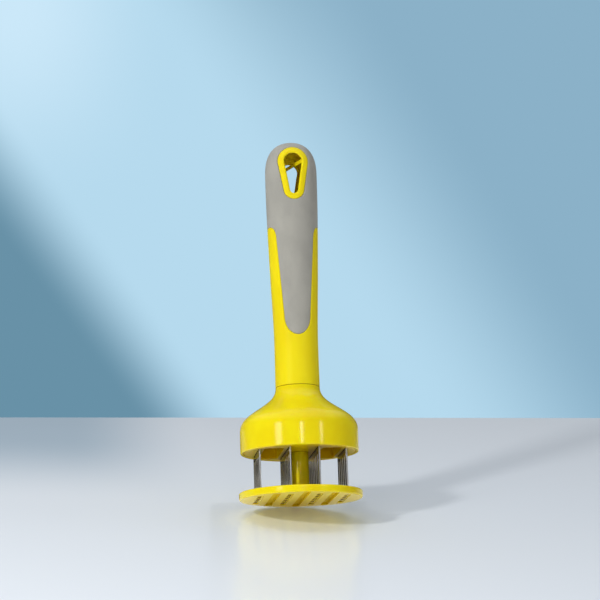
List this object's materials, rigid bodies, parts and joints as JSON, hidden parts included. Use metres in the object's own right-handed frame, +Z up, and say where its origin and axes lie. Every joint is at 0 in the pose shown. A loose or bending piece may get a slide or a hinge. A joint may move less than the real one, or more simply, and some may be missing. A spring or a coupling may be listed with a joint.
{
  "type": "meat mallet",
  "caption": "Push-down needle tenderizer for meat: a soft-grip handle with a hang hole, a flared head, rows of steel needles and a sprung round guard plate.",
  "frame": {"origin": "centre of the guard plate's underside, the face the tool stands on", "axes": "+Z up along the handle, from the guard plate to the hang hole; the needle combs run along Y; the tongue of the grip faces -Y and +Y"},
  "size_m": [0.0742, 0.0742, 0.2233],
  "materials": {
    "yellow_gloss": "moulded, glossy",
    "yellow_satin": "moulded, satin",
    "grip_grey": "matt soft-touch overmould with a fine grain",
    "needle_steel": "bright stamped stainless steel",
    "fastener_steel": "zinc plated"
  },
  "bodies": {
    "handle_and_head": {"handle_core": "yellow_satin", "soft_grip": "grip_grey", "bell_head": "yellow_gloss", "blade_holder": "yellow_gloss", "blade_retainer": "yellow_gloss", "needle_comb_1": "needle_steel", "needle_comb_2": "needle_steel", "needle_comb_3": "needle_steel", "needle_comb_4": "needle_steel", "holder_screw_1": "fastener_steel", "holder_screw_2": "fastener_steel", "holder_screw_3": "fastener_steel", "holder_screw_4": "fastener_steel", "return_spring": "fastener_steel"},
    "guard": {"press_plate": "yellow_gloss", "stop_washer": "fastener_steel", "stop_screw": "fastener_steel"}
  },
  "joints": [
    {"name": "plate_press", "type": "slide", "parent": "handle_and_head", "child": "guard", "axis": [0, 0, 1], "range_m": [0, 0.0193], "stiffness_N_per_m": 500, "springref_m": -0.015, "deforming": ["return_spring"]}
  ]
}
